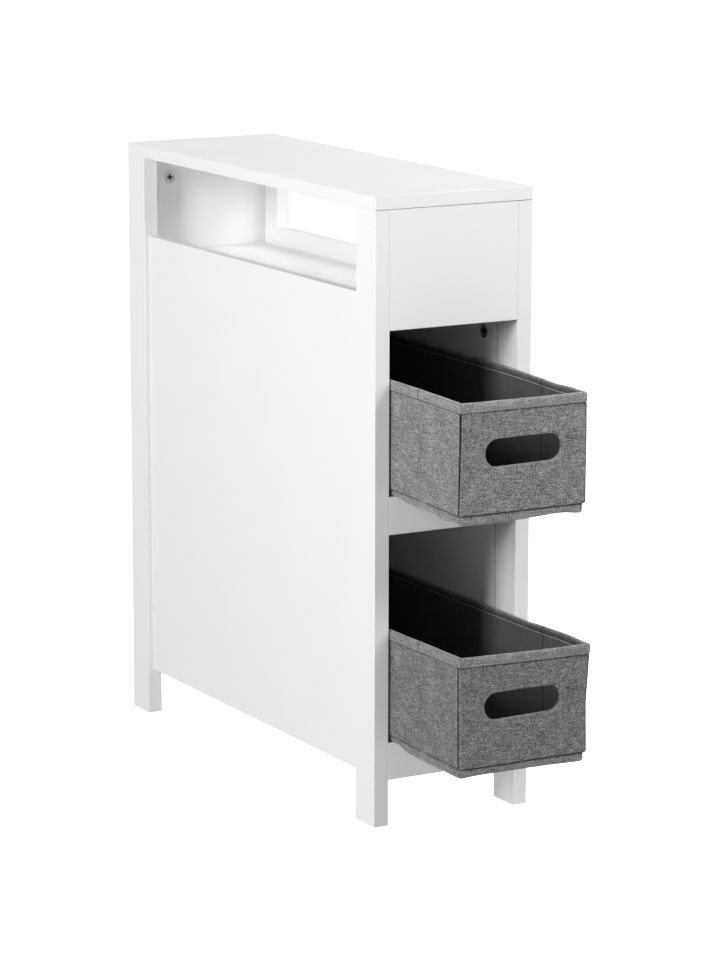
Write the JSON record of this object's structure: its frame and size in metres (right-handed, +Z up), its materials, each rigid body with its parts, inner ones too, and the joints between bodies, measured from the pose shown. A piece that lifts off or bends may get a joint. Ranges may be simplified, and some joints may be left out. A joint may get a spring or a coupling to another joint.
{
  "type": "bathroom storage tower",
  "caption": "Slim white bathroom storage tower with an open-sided compartment under its top and grey fabric bins that slide out of the narrow front.",
  "frame": {"origin": "on the floor, at the centre of the whole part's footprint with the bins drawn out as stored; the cabinet's own centre lies 74.5 mm behind it, at +Y", "axes": "+Z up; the narrow front, where the bins slide out, faces -Y; +X is to the right seen from the front"},
  "size_m": [0.198, 0.749, 0.7],
  "materials": {
    "white_board": "medium-density fibreboard with a smooth satin white lacquer",
    "zinc_cam": "die-cast zinc alloy, dull grey",
    "steel_bolt": "turned steel, zinc plated",
    "beech_dowel": "plain turned beech",
    "bin_cloth": "grey melange woven polyester with a linen look",
    "bin_lining": "charcoal non-woven lining cloth",
    "fibre_board": "raw grey-brown pressed fibre board"
  },
  "bodies": {
    "cabinet": {"top_panel": "white_board", "front_left_leg": "white_board", "front_right_leg": "white_board", "back_left_leg": "white_board", "back_right_leg": "white_board", "left_side_panel": "white_board", "right_side_panel": "white_board", "back_panel": "white_board", "front_fascia": "white_board", "middle_rail": "white_board", "bottom_rail": "white_board", "compartment_shelf": "white_board", "middle_shelf": "white_board", "bottom_shelf": "white_board", "cam_locks": "zinc_cam", "cam_bolts": "steel_bolt", "dowels": "beech_dowel"},
    "upper_bin": {"upper_bin_cover": "bin_cloth", "upper_bin_lining": "bin_lining", "upper_bin_rim_binding": "bin_cloth", "upper_bin_base_cover": "bin_cloth", "upper_bin_base_board": "fibre_board", "upper_bin_front_board": "fibre_board", "upper_bin_back_board": "fibre_board", "upper_bin_left_front_board": "fibre_board", "upper_bin_left_rear_board": "fibre_board", "upper_bin_right_front_board": "fibre_board", "upper_bin_right_rear_board": "fibre_board"},
    "lower_bin": {"lower_bin_cover": "bin_cloth", "lower_bin_lining": "bin_lining", "lower_bin_rim_binding": "bin_cloth", "lower_bin_base_cover": "bin_cloth", "lower_bin_base_board": "fibre_board", "lower_bin_front_board": "fibre_board", "lower_bin_back_board": "fibre_board", "lower_bin_left_front_board": "fibre_board", "lower_bin_left_rear_board": "fibre_board", "lower_bin_right_front_board": "fibre_board", "lower_bin_right_rear_board": "fibre_board"}
  },
  "joints": [
    {"name": "upper_bin_slide", "type": "slide", "parent": "cabinet", "child": "upper_bin", "axis": [0, -1, 0], "range_m": [-0.1535, 0.134]},
    {"name": "lower_bin_slide", "type": "slide", "parent": "cabinet", "child": "lower_bin", "axis": [0, -1, 0], "range_m": [-0.1565, 0.131]}
  ]
}
